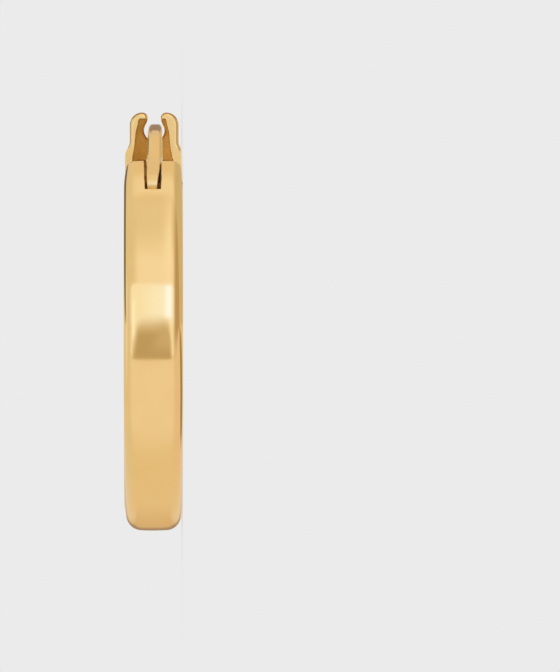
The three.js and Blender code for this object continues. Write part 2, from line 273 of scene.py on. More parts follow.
for z in sorted({round(v.co.z, 4) for v in shape_now().verts if on_face(v)}):
    pick("verts", lambda v: on_face(v) and near(v.co.z, z, 0.0002))
    move(-dome_drop(z - MIDDLE), 0, 0)
print("section:", len(shape_now().faces), "cells,", len(shape_now().verts), "points")


# %% Spin the two cheeks of the fork
def along(mm):
    """Degrees for a length along the band's middle."""
    return math.degrees(mm / PIN_CIRCLE)


def spin(mm, steps):
    bpy.ops.mesh.spin(steps=steps, angle=mm / PIN_CIRCLE, center=(0, 0, 0), axis=(0, 0, 1))


def quarter_drop(share):
    """How far a quarter circle has still to go at a share of its width, from 1 to 0."""
    return 1 - sqrt(max(0, 1 - (1 - share) ** 2)) if share < 1 else 0


pick("faces", lambda face: abs(centre(face).z - MIDDLE) < SLOT_HALF)
bpy.ops.mesh.delete(type="FACE")
pick("faces", everywhere)
# Thirteen places from the tip inwards, closest together at the tip, as on a quarter circle
tip_places = [TIP["along"] * (1 - cos(radians(7.5 * step))) for step in range(13)]
for place, following in zip(tip_places, tip_places[1:]):
    spin(following - place, steps=1)
spin(SLOT_LENGTH - TIP["along"], steps=4)
print("cheeks end at", round(max(degrees_of(v.co) for v in shape_now().verts), 2), "degrees")

# %% [markdown]
# The fork's tips are rounded by resizing ring after ring: across the band towards the slot, and
# through its thickness for the last tenth of a millimetre. The slot's own edges stay straight.

# %% Round the fork's tips
half_cheek = MIDDLE - SLOT_HALF
for place in tip_places[:-1]:
    def in_ring(vert):
        return near(degrees_of(vert.co), along(place), 0.01)

    through = 1 - TIP["face"] * quarter_drop(place / TIP["face"]) / (PIN_CIRCLE - INNER)
    for side, tip in TIP_SIDES.items():
        drop = tip["across"] * (1 - place / TIP["along"]) ** tip["power"]
        pick("verts", lambda v: in_ring(v) and (v.co.z - MIDDLE) * side > 0)
        resize((1, 1, 1 - drop / half_cheek), about=(0, 0, MIDDLE + side * SLOT_HALF))
    pick("verts", in_ring)
    resize((through, 1, 1), about=(PIN_CIRCLE, 0, 0))


# %% Spin the full section, and then the section without its channel
def at_end(point, mm):
    return near(degrees_of(point), along(mm), 0.01)


def end_cells(mm, rule=everywhere):
    """Select the flat cells across the strip at a length from the fork's end."""
    return pick("faces", lambda face: all(at_end(v.co, mm) for v in face.verts) and rule(face))


def fill_open_edges():
    count = pick("edges", lambda edge: edge.is_boundary)
    bpy.ops.mesh.edge_face_add()
    return count


def in_slot_wall(face):
    """In the wall that closes the slot at its end."""
    return abs(centre(face).z - MIDDLE) < SLOT_HALF


for low, high in ((INNER, FLOOR), (FLOOR, OUTER)):
    pick("verts", lambda v: at_end(v.co, SLOT_LENGTH) and near(abs(v.co.z - MIDDLE), SLOT_HALF)
         and low - 0.1 < radius_of(v.co) < high + 0.1)
    bpy.ops.mesh.edge_face_add()
bisect_at_heights(in_slot_wall, MIDDLE)
pick("verts", lambda v: near(v.co.z, MIDDLE) and radius_of(v.co) > OUTER - 0.1)
to_dome = OUTER / (OUTER - dome_drop(SLOT_HALF))
resize((to_dome, to_dome, 1), about=(0, 0, 0))

solid_length = radians(CHANNEL_START - FRONT_END) * PIN_CIRCLE - SLOT_LENGTH
print("cells at the slot's end:", end_cells(SLOT_LENGTH))
spin(solid_length, steps=10)
print("open edges at the slot's end:", fill_open_edges())


def beside_channel(face):
    middle = centre(face)
    return radius_of(middle) > FLOOR or abs(middle.z - MIDDLE) > MIDDLE - RIM


REAR_END = math.degrees(math.asin(CATCH_FRONT / OUTER))
TRIM = 1  # degrees that are spun too far, and cut off later
channel_length = radians(360 - REAR_END + TRIM - CHANNEL_START) * PIN_CIRCLE
print("cells beside the channel:", end_cells(SLOT_LENGTH + solid_length, beside_channel))
spin(channel_length, steps=210)
face_outward()

# %% [markdown]
# Along its lowest stretch the band is rounder, as if worn there. Growing a rounded corner about
# its virtual sharp corner gives a larger radius, so each ring's two corners are resized that way,
# by a share that rises and falls smoothly round the hoop.

# %% Round the lowest stretch more
LOW_ROUND = {1: 1.0, -1: 0.98}
LOW_INSET = {1: 0.1, -1: 0.06}  # the sides lean in as well
LOW_REACH, LOW_FADE = 75, 55  # degrees from the bottom where it starts, and over which it grows


def low_share(degrees):
    """1 at the hoop's lowest stretch, 0 far from it; degrees are those of the unturned strip."""
    from_bottom = abs((degrees + FRONT_END) % 360 - 180)
    share = min(1, max(0, (LOW_REACH - from_bottom) / LOW_FADE))
    return share * share * (3 - 2 * share)


def in_corner(vert, side):
    in_width = (vert.co.z - MIDDLE) * side > MIDDLE - OUTER_ROUND[side] - CUT
    return in_width and radius_of(vert.co) > OUTER - OUTER_ROUND[side] - dome_drop(MIDDLE) - CUT


rings = sorted({round(degrees_of(v.co), 2) for v in shape_now().verts if in_corner(v, 1)})
worn = [at for at in rings if low_share(at) > 0]
for at in worn:
    share = low_share(at)
    turn = radians(at)
    for side, low_round in LOW_ROUND.items():
        now = OUTER_ROUND[side]
        wanted = blend(now, low_round, share)
        growth = wanted / now
        rim, rim_wanted = (OUTER - dome_drop(MIDDLE - r) for r in (now, wanted))
        radius = (growth * rim - rim_wanted) / (growth - 1)
        corner = (radius * cos(turn), -radius * sin(turn), MIDDLE + side * MIDDLE)
        pick("verts", lambda v: in_corner(v, side) and near(degrees_of(v.co), at, 0.02))
        resize((growth, growth, growth), about=corner)
        move(0, 0, -side * share * LOW_INSET[side])
print("rounded", len(worn), "rings of", len(rings))
done()

# %% [markdown]
# Now the strip is turned round the hoop's axis, so that its fork is in its place. The catch's flat
# plate is soldered to the rear end, which is sawn upright for it. Bisect makes such a cut, throws
# away what is past it, and fills it with one flat face.

# %% Turn the strip to its place and cut its rear end to the catch's front
only(band)
band.rotation_euler.z = -radians(FRONT_END)
bpy.ops.object.transform_apply()
edit(band)
bisect_faces(lambda face: centre(face).x > 0 and centre(face).y > 0,
             (0, CATCH_FRONT, 0), (0, 1, 0), use_fill=True, clear_inner=True)
print("band:", len(shape_now().faces), "faces, open edges:", open_edges())
done()

# %% [markdown]
# The channel's floor was cast, so its corners are round. An angled edge can't stay sharp in a
# mould. Bevel rounds just those edges. The face that ends the channel near the fork gets the
# same rounding, because it was cast with it.

# %% Round the channel's corners
def in_channel_corner(edge):
    ends = [vert.co for vert in edge.verts]
    on_floor = all(near(radius_of(end), FLOOR, 0.003) for end in ends)
    at_wall = all(near(abs(end.z - MIDDLE), MIDDLE - RIM) for end in ends)
    at_start = all(near(degrees_of(end), CHANNEL_START, 0.01) for end in ends)
    return on_floor and (at_wall or at_start) and edge.calc_face_angle(0) > radians(45)


edit(band)
corner_edges = pick("edges", in_channel_corner)
bevel(CHANNEL_ROUND, 5)
print("rounded", corner_edges, "edges of the channel, open edges:", open_edges())

# %% [markdown]
# The slot was sawn and then broken at its edges with a fine file. A narrow bevel does that. The
# edges are found by their place, on the outer or the inner face and on a wall of the slot.

# %% Break the slot's edges
SLOT_ROUND = 0.08
slot_end = FRONT_END + math.degrees(SLOT_LENGTH / PIN_CIRCLE)


def on_slot_edge(edge):
    """Along the slot, or across its end, on the outer or the inner face."""
    ends = [vert.co for vert in edge.verts]
    on_a_face = all(radius_of(end) > OUTER - 0.05 or radius_of(end) < INNER + 0.02 for end in ends)
    at_wall = all(near(abs(end.z - MIDDLE), SLOT_HALF) for end in ends)
    at_end = all(near(degrees_of(end), slot_end, 0.02) for end in ends)
    in_reach = all(abs(end.z - MIDDLE) < SLOT_HALF + 0.01 for end in ends)
    return on_a_face and in_reach and (at_wall or at_end) and edge.calc_face_angle(0) > radians(50)


slot_edges = pick("edges", on_slot_edge)
bevel(SLOT_ROUND, 3)
print("broke", slot_edges, "edges of the slot, open edges:", open_edges())

# %% [markdown]
# A file leaves such a slot a little wider at its mouth than at its end. So the slot's walls are
# moved ring by ring, like a wedge.

# %% Taper the slot
SLOT_MOUTH, SLOT_BOTTOM = 0.635, 0.55  # half widths
SLOT_SHIFT = 0.03  # of its middle, towards the upper side


def by_slot(vert):
    """On a wall of the slot, or on one of its broken edges."""
    in_width = abs(vert.co.z - MIDDLE) < SLOT_HALF + SLOT_ROUND + 0.01
    return in_width and 0 < degrees_of(vert.co) < slot_end + 1


for at in sorted({round(degrees_of(v.co), 2) for v in shape_now().verts if by_slot(v)}):
    pick("verts", lambda v: by_slot(v) and near(degrees_of(v.co), at, 0.0051))
    share = (at - FRONT_END) / (slot_end - FRONT_END)
    half = SLOT_MOUTH + (SLOT_BOTTOM - SLOT_MOUTH) * min(share, 1)
    resize((1, 1, half / SLOT_HALF), about=(0, 0, MIDDLE))
    move(0, 0, SLOT_SHIFT)
print("slot", 2 * SLOT_MOUTH, "mm wide at its mouth and", 2 * SLOT_BOTTOM, "at its end")
done()

# %% [markdown]
# ## The catch
#
# At the rear end two ears stand up from the band, with an open keyhole between them. The post
# springs through the mouth and rests in the round hole. The plate could be cut from a box, but
# its outline is all curves, so it is drawn instead: half of it as a list of Bezier points, and
# the other half as its mirror image. The flat curve becomes a mesh with one face, which is
# extruded, and a bevel rounds all the edges of its front and back, also inside the keyhole.

# %% Draw outlines
QUARTER_PULL = 0.5523  # handle length of a quarter circle, as a share of its radius


def point(up, across, pull_in=(0, 0), pull_out=(0, 0)):
    """A Bezier point: its place, and its two handles from there."""
    return {"place": (up, across), "in": pull_in, "out": pull_out}


def mirrored(points):
    """The same points in reverse order on the other side of the middle line."""
    def flip(pair):
        return pair[0], -pair[1]

    return [point(*flip(p["place"]), flip(p["out"]), flip(p["in"])) for p in reversed(points)]


FLAT_EDGE = 0.03  # a narrow frame on a rounded face, which keeps the rest of it flat


def drawn_plate(name, points, front, back, middle_z, rounds):
    """A closed outline in the plane of X and Z, run through from one Y to a larger one.

    rounds maps the Y of a face to the radius that its edges are rounded with."""
    bpy.ops.object.select_all(action="DESELECT")
    bpy.ops.curve.primitive_bezier_circle_add(
        location=(0, front, middle_z), rotation=(pi / 2, 0, 0))
    drawing = bpy.context.object
    drawing.name = name
    drawing.data.dimensions = "2D"
    drawing.data.fill_mode = "NONE"
    drawing.data.resolution_u = 10
    spline = drawing.data.splines[0]
    spline.bezier_points.add(len(points) - len(spline.bezier_points))
    for knot, p in zip(spline.bezier_points, points):
        knot.handle_left_type = knot.handle_right_type = "FREE"
        knot.co = Vector((*p["place"], 0))
        knot.handle_left = knot.co + Vector((*p["in"], 0))
        knot.handle_right = knot.co + Vector((*p["out"], 0))
    only(drawing)
    bpy.ops.object.convert(target="MESH")
    bpy.ops.object.transform_apply()
    edit(drawing)
    bpy.ops.mesh.select_all(action="SELECT")
    bpy.ops.mesh.dissolve_limited(angle_limit=radians(0.5))  # straight runs need no points
    bpy.ops.mesh.select_all(action="SELECT")
    bpy.ops.mesh.edge_face_add()
    bpy.ops.mesh.extrude_region_move(TRANSFORM_OT_translate={"value": (0, back - front, 0)})
    for y, radius in rounds.items():
        pick("edges", lambda edge: all(near(vert.co.y, y) for vert in edge.verts))
        bevel(radius, 7)
        pick("faces", lambda face: all(near(vert.co.y, y) for vert in face.verts))
        bpy.ops.mesh.inset(thickness=FLAT_EDGE)
    face_outward()
    print(name, len(shape_now().faces), "faces, open edges:", open_edges())
    done()
    return drawing


# %% The ears' half outline, from the foot up and round the keyhole
PLATE_FOOT = 12.45  # inside the band's metal
SEAM = 0.006  # the plate's front is this much behind the band's cut end
PLATE_FRONT, PLATE_BACK = CATCH_FRONT + SEAM, CATCH_FRONT + CATCH_THICKNESS
FRONT_ROUND, BACK_ROUND = 0.28, 0.12
EAR_HALF = 1.8
EAR_CORNER = {"down": 0.95, "across": 0.9}
SHOULDER = {"top": 13.5, "bottom": 12.85, "half": 1.97}
KEYHOLE = {"at": 14.32, "radius": 0.75, "mouth_half": 0.48, "throat": 15.25, "tip_drop": 0.36}
KEYHOLE_TURN = radians(25)  # where the round hole starts to close in to its mouth


def keyhole_side(margin):
    """The keyhole's edge, grown by a margin, from its throat down to its lowest point."""
    radius = KEYHOLE["radius"] + margin
    mouth = KEYHOLE["mouth_half"] + margin
    turn = (KEYHOLE["at"] + radius * sin(KEYHOLE_TURN), -radius * cos(KEYHOLE_TURN))
    pull = 0.35 * (KEYHOLE["throat"] - turn[0])  # a soft bend between the throat and the hole
    short = radius * 4 / 3 * math.tan(KEYHOLE_TURN / 4)  # the handle for an arc of this turn
    quarter = radius * QUARTER_PULL
    return [
        point(KEYHOLE["throat"], -mouth, (0, 0), (-pull, 0)),
        point(*turn, (pull * cos(KEYHOLE_TURN), pull * sin(KEYHOLE_TURN)),
              (-short * cos(KEYHOLE_TURN), -short * sin(KEYHOLE_TURN))),
        point(KEYHOLE["at"], -radius, (short, 0), (-quarter, 0)),
    ], point(KEYHOLE["at"] - radius, 0, (0, -quarter), (0, quarter))


slope = (SHOULDER["top"] - SHOULDER["bottom"]) / 2
ear_side = CATCH_TOP - EAR_CORNER["down"]
tip_across = EAR_HALF - EAR_CORNER["across"] - KEYHOLE["mouth_half"]
keyhole_edge, keyhole_bottom = keyhole_side(0)
ear = [
    point(PLATE_FOOT, -SHOULDER["half"]),
    point(SHOULDER["bottom"], -SHOULDER["half"], (0, 0), (slope, 0)),
    point(SHOULDER["top"], -EAR_HALF, (-slope, 0), (0, 0)),
    point(ear_side, -EAR_HALF, (0, 0), (EAR_CORNER["down"] * QUARTER_PULL, 0)),
    point(CATCH_TOP, EAR_CORNER["across"] - EAR_HALF,
          (0, -EAR_CORNER["across"] * QUARTER_PULL), (0, tip_across * QUARTER_PULL)),
    point(CATCH_TOP - KEYHOLE["tip_drop"], -KEYHOLE["mouth_half"],
          (KEYHOLE["tip_drop"] * QUARTER_PULL, 0), (0, 0)),
    *keyhole_edge,
]
ears = drawn_plate("ears", [*ear, keyhole_bottom, *mirrored(ear)],
                   PLATE_FRONT, PLATE_BACK, MIDDLE + CLASP_SHIFT,
                   {PLATE_FRONT: FRONT_ROUND, PLATE_BACK: BACK_ROUND})

# %% [markdown]
# The ears are joined to the band with a Boolean union, as solder would. The front of the plate
# is dished: a thin wall is left round the keyhole and a thicker rim outside. The dish is drawn
# in the same way as the plate.

# %% Join the ears and dish their front
boolean(band, ears, "UNION")

DISH_DEPTH = 0.42
DISH_LIP = 0.13
DISH_SHIFT = 0.14  # of the dish from the clasp's middle
DISH_SIDE = {11.0: 1.52, 12.36: 1.48, 13.0: 1.35, 13.6: 1.29, 14.2: 1.23}  # height: half width
DISH_TOP = {"at": 15.2, "corner": 14.8, "half": 1.08, "outer_half": 0.9, "inner_half": 0.62}
DISH_PULL = {"up": 0.2, "across": 0.1}  # handles of its round corners
OVERRUN = 1  # how far a cutter reaches past what it cuts


def shifted(points, amount):
    return [point(p["place"][0], p["place"][1] + amount, p["in"], p["out"]) for p in points]


dish_half = [point(height, -half) for height, half in DISH_SIDE.items()]
dish_half += [
    point(DISH_TOP["corner"], -DISH_TOP["half"], (0, 0), (DISH_PULL["up"], 0)),
    point(DISH_TOP["at"], -DISH_TOP["outer_half"], (0, -DISH_PULL["across"]), (0, 0)),
]
lip_edge, lip_bottom = keyhole_side(DISH_LIP)
lip_edge[0] = point(DISH_TOP["at"], -DISH_TOP["inner_half"])
lip = [*lip_edge, lip_bottom, *mirrored(lip_edge)]
dish = drawn_plate("dish", [*dish_half, *shifted(lip, -DISH_SHIFT), *mirrored(dish_half)],
                   CATCH_FRONT - OVERRUN, CATCH_FRONT + DISH_DEPTH,
                   MIDDLE + CLASP_SHIFT + DISH_SHIFT, {})
boolean(band, dish, "DIFFERENCE")

# %% [markdown]
# ## The hinge
#
# The pin goes through both cheeks and the knuckle between them. A Boolean is the honest tool for
# its holes, because the real ones were drilled, too. The drill is a cylinder a little wider than
# the pin. The pin's ends were filed nearly flush and burnished, so their edges are bevelled.

# %% Drill the fork, and make the pin
PIN_EDGE = 0.09


def at_pin(name, radius, low, high):
    """A cylinder round the hinge's axis."""
    bpy.ops.object.select_all(action="DESELECT")
    bpy.ops.mesh.primitive_cylinder_add(
        vertices=48, radius=radius, depth=high - low, end_fill_type="NGON",
        location=(pin_x, pin_y, (low + high) / 2))
    bpy.ops.object.transform_apply()
    bpy.context.object.name = name
    return bpy.context.object


pin_x = PIN_CIRCLE * cos(radians(PIN_AT))
pin_y = -PIN_CIRCLE * sin(radians(PIN_AT))
boolean(band, at_pin("drill", PIN_HOLE, -OVERRUN, WIDTH + OVERRUN), "DIFFERENCE")

pin_low, pin_high = (corner.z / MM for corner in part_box("hinge_pin"))
pin = at_pin("hinge_pin_burnished", PIN_RADIUS, pin_low, pin_high)
edit(pin)
pick("edges", lambda edge: all(near(v.co.z, edge.verts[0].co.z) for v in edge.verts))
bevel(PIN_EDGE, 4)
bisect_at_heights(everywhere, MIDDLE - SLOT_MOUTH, MIDDLE + SLOT_MOUTH)
print("pin:", len(shape_now().faces), "faces from", round(pin_low, 3), "to", round(pin_high, 3))
done()

# %% [markdown]
# The post is one piece with its knuckle: soft square wire, filed flat at one end and turned round
# the pin. Such a form is drawn as cross-sections on its route, and Blender bridges each section
# to the next. Every section is a plane with its four corners bevelled: a little for the flat
# tongue, and more for the wire. Since all sections have the same number of points, the tongue
# flows into the wire without a seam.

# %% The post's route
WIRE = {"start": 0.55, "middle": 0.46, "tip": 0.43}  # half of its width
WIRE_SHIFT = {"start": -0.11, "middle": -0.155, "tip": 0.0}  # from the band's middle
WIRE_CORNER = 0.62  # of half the width: how much of it is rounded
WIRE_FROM = 2.8  # mm along the route from the pin, where the tongue has become wire
WIRE_MIDDLE = 0.31  # of the wire's length, where it comes out of its bend
BEND_RADIUS = 5.0
LEVEL = PIN_CIRCLE + 0.03  # height at which the bend ends
START, END = radians(90 - PIN_AT), radians(0.6)  # the route's slope at the pin and at the tip
post_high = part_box("ear_post")[1]
TIP_Y = post_high.y / MM

bend_rise = BEND_RADIUS * (cos(END) - cos(START))
straight = (LEVEL - pin_x - bend_rise) / sin(START)
bend = BEND_RADIUS * (START - END)  # length of the bend
bend_start = Vector((pin_x + straight * sin(START), pin_y + straight * cos(START), 0))
bend_centre = bend_start + BEND_RADIUS * Vector((-cos(START), sin(START), 0))
bend_end = bend_centre + BEND_RADIUS * Vector((cos(END), -sin(END), 0))
route_length = straight + bend + (TIP_Y - bend_end.y) / cos(END)


def route(s):
    """Place and slope of the post's middle line, s mm from the pin."""
    if s < straight:
        slope = START
        place = Vector((pin_x, pin_y, 0)) + s * Vector((sin(slope), cos(slope), 0))
    elif s < straight + bend:
        slope = START - (s - straight) / BEND_RADIUS
        place = bend_centre + BEND_RADIUS * Vector((cos(slope), -sin(slope), 0))
    else:
        slope = END
        place = bend_end + (s - straight - bend) * Vector((sin(slope), cos(slope), 0))
    return place, slope


print(f"route: straight {straight:.2f}, bend {bend:.2f}, whole length {route_length:.2f} mm")

# %% [markdown]
# The knuckle is a disc seen on edge: its depth is the chord of a circle, whose centre is a tenth
# of a millimetre off the pin. Its two flat sides aren't parallel, because the tongue was filed to
# a slight wedge.

# %% The post's sections
# The tongue's two sides, from the band's middle, at two places along the route
SIDES = {"upper": (0.45, 0.52), "lower": (-0.2, -0.59), "from": -1.5, "to": 2.0}
KNUCKLE = {"radius": 0.93, "along": 0.1, "out": 0.1}  # its round, and its place from the pin
TAPER_TURN = 99  # degrees round the knuckle from its back, where the straight taper starts
TONGUE_ROUND = 0.09
ROUNDER_FROM = 0.8  # mm from the pin, where the tongue's corners start to get rounder
TIP_ROUND = 0.3


def along_wire(values, s):
    """A value at s, from those at the wire's start, middle and tip."""
    share = (s - WIRE_FROM) / (route_length - WIRE_FROM)
    if share < WIRE_MIDDLE:
        return blend(values["start"], values["middle"], share / WIRE_MIDDLE)
    return blend(values["middle"], values["tip"], (share - WIRE_MIDDLE) / (1 - WIRE_MIDDLE))


def tongue_section(s, depth):
    share = (s - SIDES["from"]) / (SIDES["to"] - SIDES["from"])
    upper = blend(*SIDES["upper"], share)
    lower = blend(*SIDES["lower"], share)
    rounder = (s - ROUNDER_FROM) / (WIRE_FROM - ROUNDER_FROM)
    corner = blend(TONGUE_ROUND, WIRE["start"] * WIRE_CORNER, rounder)
    return {"s": s, "depth": depth, "upper": upper, "lower": lower, "corner": min(corner, depth)}


def wire_section(s, shrink=0.0):
    half = along_wire(WIRE, s) - shrink
    shift = along_wire(WIRE_SHIFT, s)
    return {"s": s, "depth": half, "upper": shift + half, "lower": shift - half,
            "corner": half * WIRE_CORNER}


sections = []
for turn in range(3, TAPER_TURN + 1, 8):  # degrees round the knuckle from its back
    sections.append(tongue_section(
        KNUCKLE["along"] - KNUCKLE["radius"] * cos(radians(turn)),
        KNUCKLE["out"] + KNUCKLE["radius"] * sin(radians(turn))))
taper_start = sections[-1]
for step in range(1, 6):
    s = blend(taper_start["s"], WIRE_FROM, step / 6)
    sections.append(tongue_section(s, blend(taper_start["depth"], WIRE["start"], step / 6)))
wire_end = route_length - TIP_ROUND
wire_steps = [WIRE_FROM, (WIRE_FROM + straight) / 2]
wire_steps += [straight + bend * step / 16 for step in range(17)]
wire_steps += [blend(wire_steps[-1], wire_end, step / 8) for step in range(1, 9)]
sections += [wire_section(s) for s in wire_steps]
for turn in (20, 40, 60, 80):
    sections.append(wire_section(wire_end + TIP_ROUND * sin(radians(turn)),
                                 TIP_ROUND * (1 - cos(radians(turn)))))
print(len(sections), "sections")

# %% Draw the sections and bridge them
bpy.ops.object.select_all(action="DESELECT")
bpy.ops.mesh.primitive_plane_add(size=1)
post = bpy.context.object
post.name = "ear_post_wire"
edit(post)
bpy.ops.mesh.delete(type="VERT")
for section in sections:
    place, slope = route(section["s"])
    place.z = MIDDLE + (section["upper"] + section["lower"]) / 2
    bpy.ops.mesh.select_all(action="DESELECT")
    bpy.ops.mesh.primitive_plane_add(size=1, location=place, rotation=(pi / 2, 0, 0))
    resize((2 * section["depth"], 1, section["upper"] - section["lower"]), about=place)
    bevel(0.999 * section["corner"], 8, "VERTICES")  # just short of where two corners meet
    bpy.ops.transform.rotate(value=slope, orient_axis="Z", center_override=place)
    bpy.ops.mesh.delete(type="ONLY_FACE")


def in_section(element, section):
    place, slope = route(section["s"])
    forward = Vector((sin(slope), cos(slope), 0))
    return all(near((vert.co - place).dot(forward), 0, 0.001) and
               (vert.co - place).length < MIDDLE + 1 for vert in element.verts)


for section, following in zip(sections, sections[1:]):
    pick("edges", lambda edge: in_section(edge, section) or in_section(edge, following))
    bpy.ops.mesh.bridge_edge_loops()
print("open edges left for the two end caps:", fill_open_edges())
face_outward()
done()

boolean(post, at_pin("drill", PIN_HOLE, -OVERRUN, WIDTH + OVERRUN), "DIFFERENCE")

# %% [markdown]
# ## Smooth shading
#
# Polished metal shows every facet in its reflections, so the shading has to be smooth across
# soft turns and hard at real edges. The angle decides which is which.

# %% Smooth the three pieces
SHARP = radians(28)
for piece in (band, post, pin):
    only(piece)
    bpy.ops.object.shade_smooth_by_angle(angle=SHARP)
print("smoothed", [piece.name for piece in (band, post, pin)])

edit(band)
catch_levels = (PLATE_FRONT, CATCH_FRONT, CATCH_FRONT + DISH_DEPTH, PLATE_BACK)
print("flat faces of the catch:", pick("faces", lambda face: abs(face.normal.y) > 0.9999 and any(
    near(centre(face).y, level, 0.001) for level in catch_levels)))
bpy.ops.mesh.faces_shade_flat()
done()

# %% [markdown]
# ## In place
#
# The pieces were modelled in millimetres round the hoop's centre. Now each gets its real size
# and place, and the frame is told what it stands for: which solid it replaces and which body it
# moves with.

# %% Scale and place the pieces
def put_in_place(piece, body, node):
    only(piece)
    piece.scale = (MM, MM, MM)
    piece.location = (CENTRE_X * MM, 0, 0)
    bpy.ops.object.transform_apply()
    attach(piece, body)
    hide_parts(node)


put_in_place(band, "hoop", "hoop_band")
put_in_place(pin, "hoop", "hinge_pin")
put_in_place(post, "post", "ear_post")
for piece in (band, post, pin):
    print(piece.name, [round(side / MM, 2) for side in piece.dimensions], "mm")

# %% [markdown]
# ## Materials
#
# All of it is one alloy, gold over brass, and a metal's colour is its base colour. What tells
# the pieces apart is the finish. Each finish is one Principled shader, fed by a node group. The
# group is given Object coordinates in millimetres, so its patterns have a real scale.

# %% Tools for nodes
def set_inputs(node, inputs):
    """Give a node's inputs numbers, colours or other nodes' sockets."""
    for name, value in inputs.items():
        if isinstance(value, bpy.types.NodeSocket):
            node.id_data.links.new(value, node.inputs[name])
        else:
            node.inputs[name].default_value = value


def add_node(tree, kind, inputs, **settings):
    """Add a node with its settings and inputs, and return its outputs."""
    made = tree.nodes.new(kind)
    for name, value in settings.items():
        setattr(made, name, value)
    set_inputs(made, inputs)
    return made.outputs


def calculate(operation, *values):
    """A Math node, in the tree of the first socket among its values."""
    tree = next(value.id_data for value in values if isinstance(value, bpy.types.NodeSocket))
    return add_node(tree, "ShaderNodeMath", dict(enumerate(values)), operation=operation)[0]


add, subtract, multiply = (partial(calculate, kind) for kind in ("ADD", "SUBTRACT", "MULTIPLY"))


def ramp(value, low, high, at_low=0.0, at_high=1.0, easing="SMOOTHSTEP"):
    """Goes from at_low to at_high while the value goes from low to high."""
    return add_node(value.id_data, "ShaderNodeMapRange", {
        "Value": value, "From Min": low, "From Max": high, "To Min": at_low, "To Max": at_high},
        interpolation_type=easing)[0]


def mix_colours(share, under, over):
    """A Mix node for colours: its sockets 6 and 7 are the two colours, and 2 is the result."""
    return add_node(share.id_data, "ShaderNodeMix", {0: share, 6: under, 7: over},
                    data_type="RGBA")[2]


def noise(place, scale, detail):
    """Noise of about one patch per length 1/scale, from 0 to 1."""
    return add_node(place.id_data, "ShaderNodeTexNoise", {
        "Vector": place, "Scale": scale, "Detail": detail})["Fac"]


def bump(height):
    """A normal from a height in millimetres."""
    return add_node(height.id_data, "ShaderNodeBump", {
        "Height": height, "Strength": 1.0, "Distance": MM})[0]


def new_group(name, inputs, outputs):
    """Make a node group from its sockets' names and types. Returns it, its inputs and its end."""
    group = bpy.data.node_groups.new(name, "ShaderNodeTree")
    for in_out, sockets in (("INPUT", inputs), ("OUTPUT", outputs)):
        for socket, kind in sockets.items():
            group.interface.new_socket(socket, in_out=in_out, socket_type="NodeSocket" + kind)
    start = group.nodes.new("NodeGroupInput")
    return group, start.outputs, group.nodes.new("NodeGroupOutput")


def place_group(tree, group, inputs):
    return add_node(tree, "ShaderNodeGroup", inputs, node_tree=group, label=group.name)


# %% [markdown]
# Polishing leaves three things on metal: lines that run the way of the wheel, which only show
# as they catch the light, a faint waviness, and a film that dulls it in patches. The lines are
# noise that is stretched along the wheel's path, so the group gets its place twice.

# %% A node group for hand-polished metal
polish, given, end = new_group(
    "hand_polish",
    {"Place": "Vector", "Lines Place": "Vector", "Colour": "Color", "Worn Colour": "Color",
     "Roughness": "Float", "Haze": "Float", "Lines": "Float", "Waviness": "Float"},
    {"Colour": "Color", "Roughness": "Float", "Normal": "Vector"})
film = ramp(noise(given["Place"], scale=0.55, detail=4), 0.38, 0.68)
speckle = noise(given["Place"], scale=9.0, detail=3)
dulled = multiply(given["Haze"], add(film, multiply(speckle, 0.4)))
lines = noise(given["Lines Place"], scale=1.0, detail=3)
lined = multiply(given["Lines"], subtract(lines, 0.5))
waves = multiply(given["Waviness"], noise(given["Place"], scale=0.8, detail=1))
set_inputs(end, {
    "Colour": mix_colours(film, given["Colour"], given["Worn Colour"]),
    "Roughness": add(given["Roughness"], add(dulled, multiply(lined, 0.1))),
    "Normal": bump(add(multiply(lined, 0.001), waves))})
print("polish group:", len(polish.nodes), "nodes")

# %% [markdown]
# Where no wheel reaches, the metal keeps its cast or tarnished skin: grains, pits, and a colour
# that changes from place to place.

# %% A node group for metal with its skin on
skin, given, end = new_group(
    "cast_skin",
    {"Place": "Vector", "Colour": "Color", "Deep Colour": "Color", "Deep Share": "Float",
     "Roughness": "Float", "Grain": "Float"},
    {"Colour": "Color", "Roughness": "Float", "Normal": "Vector"})
clouds = noise(given["Place"], scale=0.9, detail=4)
grains = noise(given["Place"], scale=5.0, detail=3)
clouded = add(given["Deep Share"], multiply(subtract(clouds, 0.5), 1.2))
deep = add_node(skin, "ShaderNodeClamp", {"Value": clouded})[0]
set_inputs(end, {
    "Colour": mix_colours(deep, given["Colour"], given["Deep Colour"]),
    "Roughness": add(given["Roughness"], multiply(subtract(grains, 0.5), 0.25)),
    "Normal": bump(multiply(grains, given["Grain"]))})
print("skin group:", len(skin.nodes), "nodes")

# %% [markdown]
# Each finish gets a place on its piece in millimetres. The wheel's lines run round the hoop, and
# the lines on the wire run along it, as the draw plate left them. The hinge was filed, and is
# darkest by its pin, where polish never comes.

# %% Gold in its finishes
def new_metal(name, metallic=1):
    material = bpy.data.materials.new(name)
    material.use_nodes = True
    set_inputs(material.node_tree.nodes["Principled BSDF"], {"Metallic": metallic})
    return material, material.node_tree


def millimetres(tree, centre_at=(0, 0, 0), stretch=(1, 1, 1)):
    """Object coordinates in millimetres from a place, and stretched along each axis."""
    return add_node(tree, "ShaderNodeMapping", {
        "Vector": add_node(tree, "ShaderNodeTexCoord", {})["Object"],
        "Location": [-c * share for c, share in zip(centre_at, stretch)],
        "Scale": [share / MM for share in stretch]})[0]


def finish_metal(tree, group, inputs):
    """Feed a material's shader from a group that is placed with these inputs."""
    made = place_group(tree, group, {"Place": millimetres(tree), **inputs})
    set_inputs(tree.nodes["Principled BSDF"], {
        "Base Color": made["Colour"], "Roughness": made["Roughness"], "Normal": made["Normal"]})


